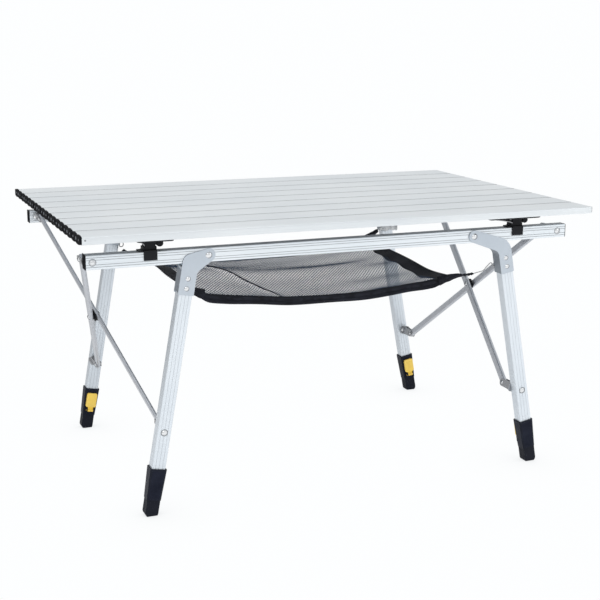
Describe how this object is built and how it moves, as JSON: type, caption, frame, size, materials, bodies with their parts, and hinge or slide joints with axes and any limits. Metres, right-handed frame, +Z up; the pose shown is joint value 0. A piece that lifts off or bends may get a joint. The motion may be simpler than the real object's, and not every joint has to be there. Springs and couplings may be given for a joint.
{
  "type": "camp kitchen table",
  "caption": "Folding aluminium camp kitchen table with a roll-up slatted top, cross-braced telescopic legs and a mesh shelf slung under the rails.",
  "frame": {"origin": "centre of the table's length and width, on the ground", "axes": "+Z up, +X along the table's length towards its right end, -Y towards its front long side"},
  "size_m": [1.1, 0.6996, 0.574],
  "materials": {
    "slats": "satin anodised, fine lengthwise lines",
    "rails": "satin anodised",
    "legs": "satin anodised",
    "inner_legs": "satin anodised",
    "brackets": "satin blue-grey",
    "bars": "satin anodised",
    "swivels": "satin",
    "rivets": "polished domes",
    "collars": "fine grain black",
    "feet": "black",
    "latches": "yellow",
    "rail_caps": "black",
    "saddles": "black",
    "clips": "black",
    "net": "open mesh, black binding",
    "hooks": "bent wire"
  },
  "bodies": {
    "front_frame": {"front_rail": "rails", "front_rail_caps": "rail_caps", "front_saddles": "saddles", "storage_net": "net", "net_hooks": "hooks"},
    "back_frame": {"back_rail": "rails", "back_rail_caps": "rail_caps", "back_saddles": "saddles"},
    "leg_fl": {"leg_tube_fl": "legs", "elbow_bracket_fl": "brackets", "leg_rivets_fl": "rivets", "lock_collar_fl": "collars"},
    "inner_leg_fl": {"inner_tube_fl": "inner_legs", "foot_fl": "feet"},
    "latch_fl": {"latch_lever_fl": "latches"},
    "rail_swivel_body_fl": {"rail_swivel_fl": "swivels"},
    "bar_fl": {"brace_bar_fl": "bars"},
    "leg_swivel_body_fl": {"leg_swivel_fl": "swivels"},
    "leg_bl": {"leg_tube_bl": "legs", "elbow_bracket_bl": "brackets", "leg_rivets_bl": "rivets", "lock_collar_bl": "collars"},
    "inner_leg_bl": {"inner_tube_bl": "inner_legs", "foot_bl": "feet"},
    "latch_bl": {"latch_lever_bl": "latches"},
    "rail_swivel_body_bl": {"rail_swivel_bl": "swivels"},
    "bar_bl": {"brace_bar_bl": "bars"},
    "leg_swivel_body_bl": {"leg_swivel_bl": "swivels"},
    "leg_fr": {"leg_tube_fr": "legs", "elbow_bracket_fr": "brackets", "leg_rivets_fr": "rivets", "lock_collar_fr": "collars"},
    "inner_leg_fr": {"inner_tube_fr": "inner_legs", "foot_fr": "feet"},
    "latch_fr": {"latch_lever_fr": "latches"},
    "rail_swivel_body_fr": {"rail_swivel_fr": "swivels"},
    "bar_fr": {"brace_bar_fr": "bars"},
    "leg_swivel_body_fr": {"leg_swivel_fr": "swivels"},
    "leg_br": {"leg_tube_br": "legs", "elbow_bracket_br": "brackets", "leg_rivets_br": "rivets", "lock_collar_br": "collars"},
    "inner_leg_br": {"inner_tube_br": "inner_legs", "foot_br": "feet"},
    "latch_br": {"latch_lever_br": "latches"},
    "rail_swivel_body_br": {"rail_swivel_br": "swivels"},
    "bar_br": {"brace_bar_br": "bars"},
    "leg_swivel_body_br": {"leg_swivel_br": "swivels"},
    "top_1": {"slat_1": "slats", "front_clips": "clips"},
    "top_2": {"slat_2": "slats"},
    "top_3": {"slat_3": "slats"},
    "top_4": {"slat_4": "slats"},
    "top_5": {"slat_5": "slats"},
    "top_6": {"slat_6": "slats"},
    "top_7": {"slat_7": "slats"},
    "top_8": {"slat_8": "slats"},
    "top_9": {"slat_9": "slats", "back_clips": "clips"}
  },
  "joints": [
    {"name": "frame_fold", "type": "slide", "parent": "front_frame", "child": "back_frame", "axis": [0, 1, 0], "range_m": [-0.3216, 0], "deforming": ["storage_net", "net_hooks"]},
    {"name": "leg_fold_fl", "type": "hinge", "parent": "front_frame", "child": "leg_fl", "pos_m": [-0.292, -0.292, 0.518], "axis": [0, 1, 0], "range_deg": [-99.95, 0]},
    {"name": "leg_extend_fl", "type": "slide", "parent": "leg_fl", "child": "inner_leg_fl", "axis": [-0.1719, 0, -0.9851], "range_m": [0, 0.13]},
    {"name": "latch_open_fl", "type": "hinge", "parent": "leg_fl", "child": "latch_fl", "pos_m": [-0.40901, -0.273, 0.04532], "axis": [-0.9851, 0, 0.1719], "range_deg": [0, 75]},
    {"name": "rail_swivel_turn_fl", "type": "hinge", "parent": "front_frame", "child": "rail_swivel_body_fl", "pos_m": [-0.518, -0.29, 0.518], "axis": [0, 1, 0], "range_deg": [-66.12, 0]},
    {"name": "bar_swing_fl", "type": "hinge", "parent": "rail_swivel_body_fl", "child": "bar_fl", "pos_m": [-0.52455, -0.24, 0.51554], "axis": [0.936, 0, 0.352], "range_deg": [-37.18, 0]},
    {"name": "leg_swivel_turn_fl", "type": "hinge", "parent": "leg_fl", "child": "leg_swivel_body_fl", "pos_m": [-0.38722, -0.29, 0.17019], "axis": [0, 1, 0], "range_deg": [0, 33.88]},
    {"name": "leg_fold_bl", "type": "hinge", "parent": "back_frame", "child": "leg_bl", "pos_m": [-0.292, 0.292, 0.518], "axis": [0, 1, 0], "range_deg": [-99.95, 0]},
    {"name": "leg_extend_bl", "type": "slide", "parent": "leg_bl", "child": "inner_leg_bl", "axis": [-0.1719, 0, -0.9851], "range_m": [0, 0.13]},
    {"name": "latch_open_bl", "type": "hinge", "parent": "leg_bl", "child": "latch_bl", "pos_m": [-0.40901, 0.273, 0.04532], "axis": [0.9851, 0, -0.1719], "range_deg": [0, 75]},
    {"name": "rail_swivel_turn_bl", "type": "hinge", "parent": "back_frame", "child": "rail_swivel_body_bl", "pos_m": [-0.518, 0.29, 0.518], "axis": [0, 1, 0], "range_deg": [-66.12, 0]},
    {"name": "bar_swing_bl", "type": "hinge", "parent": "rail_swivel_body_bl", "child": "bar_bl", "pos_m": [-0.51145, 0.24, 0.52046], "axis": [0.936, 0, 0.352], "range_deg": [0, 37.18]},
    {"name": "leg_swivel_turn_bl", "type": "hinge", "parent": "leg_bl", "child": "leg_swivel_body_bl", "pos_m": [-0.38722, 0.29, 0.17019], "axis": [0, 1, 0], "range_deg": [0, 33.88]},
    {"name": "right_legs_fold", "type": "hinge", "parent": "front_frame", "child": "leg_fr", "pos_m": [0.291, -0.292, 0.518], "axis": [0, -1, 0], "range_deg": [-100.5, 0]},
    {"name": "leg_extend_fr", "type": "slide", "parent": "leg_fr", "child": "inner_leg_fr", "axis": [0.1822, 0, -0.9833], "range_m": [0, 0.13]},
    {"name": "latch_open_fr", "type": "hinge", "parent": "leg_fr", "child": "latch_fr", "pos_m": [0.44778, -0.273, 0.04523], "axis": [-0.9833, 0, -0.1822], "range_deg": [0, 75]},
    {"name": "rail_swivel_turn_fr", "type": "hinge", "parent": "front_frame", "child": "rail_swivel_body_fr", "pos_m": [0.495, -0.29, 0.518], "axis": [0, 1, 0], "range_deg": [0, 72.01]},
    {"name": "bar_swing_fr", "type": "hinge", "parent": "rail_swivel_body_fr", "child": "bar_fr", "pos_m": [0.50187, -0.24, 0.51663], "axis": [-0.9807, 0, 0.1955], "range_deg": [0, 38.03]},
    {"name": "leg_swivel_turn_fr", "type": "hinge", "parent": "leg_fr", "child": "leg_swivel_body_fr", "pos_m": [0.42512, -0.29, 0.16747], "axis": [0, 1, 0], "range_deg": [-28.59, 0]},
    {"name": "leg_fold_br", "type": "hinge", "parent": "back_frame", "child": "leg_br", "pos_m": [0.291, 0.292, 0.518], "axis": [0, -1, 0], "range_deg": [-100.55, 0]},
    {"name": "leg_extend_br", "type": "slide", "parent": "leg_br", "child": "inner_leg_br", "axis": [0.1822, 0, -0.9833], "range_m": [0, 0.13]},
    {"name": "latch_open_br", "type": "hinge", "parent": "leg_br", "child": "latch_br", "pos_m": [0.44778, 0.273, 0.04523], "axis": [0.9833, 0, 0.1822], "range_deg": [0, 75]},
    {"name": "rail_swivel_turn_br", "type": "hinge", "parent": "back_frame", "child": "rail_swivel_body_br", "pos_m": [0.495, 0.29, 0.518], "axis": [0, 1, 0], "range_deg": [0, 72.01]},
    {"name": "bar_swing_br", "type": "hinge", "parent": "rail_swivel_body_br", "child": "bar_br", "pos_m": [0.48813, 0.24, 0.51937], "axis": [-0.9807, 0, 0.1955], "range_deg": [-38.03, 0]},
    {"name": "leg_swivel_turn_br", "type": "hinge", "parent": "leg_br", "child": "leg_swivel_body_br", "pos_m": [0.42512, 0.29, 0.16747], "axis": [0, 1, 0], "range_deg": [-28.59, 0]},
    {"name": "top_lift", "type": "slide", "parent": "front_frame", "child": "top_5", "axis": [0, 0, 1], "range_m": [0, 0.25]},
    {"name": "top_roll", "type": "hinge", "parent": "top_5", "child": "top_6", "pos_m": [0, 0.03889, 0.574], "axis": [1, 0, 0], "range_deg": [0, 36]},
    {"name": "slat_7_roll", "type": "hinge", "parent": "top_6", "child": "top_7", "pos_m": [0, 0.11667, 0.574], "axis": [1, 0, 0], "range_deg": [-0.05, 36.05]},
    {"name": "slat_8_roll", "type": "hinge", "parent": "top_7", "child": "top_8", "pos_m": [0, 0.19444, 0.574], "axis": [1, 0, 0], "range_deg": [-0.05, 36.05]},
    {"name": "slat_9_roll", "type": "hinge", "parent": "top_8", "child": "top_9", "pos_m": [0, 0.27222, 0.574], "axis": [1, 0, 0], "range_deg": [-0.05, 36.05]},
    {"name": "slat_4_roll", "type": "hinge", "parent": "top_5", "child": "top_4", "pos_m": [0, -0.03889, 0.574], "axis": [1, 0, 0], "range_deg": [-36.05, 0.05]},
    {"name": "slat_3_roll", "type": "hinge", "parent": "top_4", "child": "top_3", "pos_m": [0, -0.11667, 0.574], "axis": [1, 0, 0], "range_deg": [-36.05, 0.05]},
    {"name": "slat_2_roll", "type": "hinge", "parent": "top_3", "child": "top_2", "pos_m": [0, -0.19444, 0.574], "axis": [1, 0, 0], "range_deg": [-36.05, 0.05]},
    {"name": "slat_1_roll", "type": "hinge", "parent": "top_2", "child": "top_1", "pos_m": [0, -0.27222, 0.574], "axis": [1, 0, 0], "range_deg": [-36.05, 0.05]}
  ],
  "couplings": [
    {"joint": "leg_fold_fl", "follows": "frame_fold", "rad_per_m": 5.4216},
    {"joint": "rail_swivel_turn_fl", "follows": "frame_fold", "rad_per_m": 3.5854},
    {"joint": "bar_swing_fl", "follows": "frame_fold", "rad_per_m": 2.0149},
    {"joint": "leg_swivel_turn_fl", "follows": "frame_fold", "rad_per_m": -1.8362},
    {"joint": "leg_fold_bl", "follows": "frame_fold", "rad_per_m": 5.4216},
    {"joint": "rail_swivel_turn_bl", "follows": "frame_fold", "rad_per_m": 3.5854},
    {"joint": "bar_swing_bl", "follows": "frame_fold", "rad_per_m": -2.0149},
    {"joint": "leg_swivel_turn_bl", "follows": "frame_fold", "rad_per_m": -1.8362},
    {"joint": "rail_swivel_turn_fr", "follows": "frame_fold", "rad_per_m": -3.9053},
    {"joint": "bar_swing_fr", "follows": "frame_fold", "rad_per_m": -2.0613},
    {"joint": "leg_swivel_turn_fr", "follows": "right_legs_fold", "ratio": 0.28398},
    {"joint": "leg_fold_br", "follows": "right_legs_fold", "ratio": 1},
    {"joint": "rail_swivel_turn_br", "follows": "frame_fold", "rad_per_m": -3.9053},
    {"joint": "bar_swing_br", "follows": "frame_fold", "rad_per_m": 2.0613},
    {"joint": "leg_swivel_turn_br", "follows": "right_legs_fold", "ratio": 0.28398},
    {"joint": "slat_7_roll", "follows": "top_roll", "ratio": 1},
    {"joint": "slat_8_roll", "follows": "top_roll", "ratio": 1},
    {"joint": "slat_9_roll", "follows": "top_roll", "ratio": 1},
    {"joint": "slat_4_roll", "follows": "top_roll", "ratio": -1},
    {"joint": "slat_3_roll", "follows": "top_roll", "ratio": -1},
    {"joint": "slat_2_roll", "follows": "top_roll", "ratio": -1},
    {"joint": "slat_1_roll", "follows": "top_roll", "ratio": -1}
  ]
}
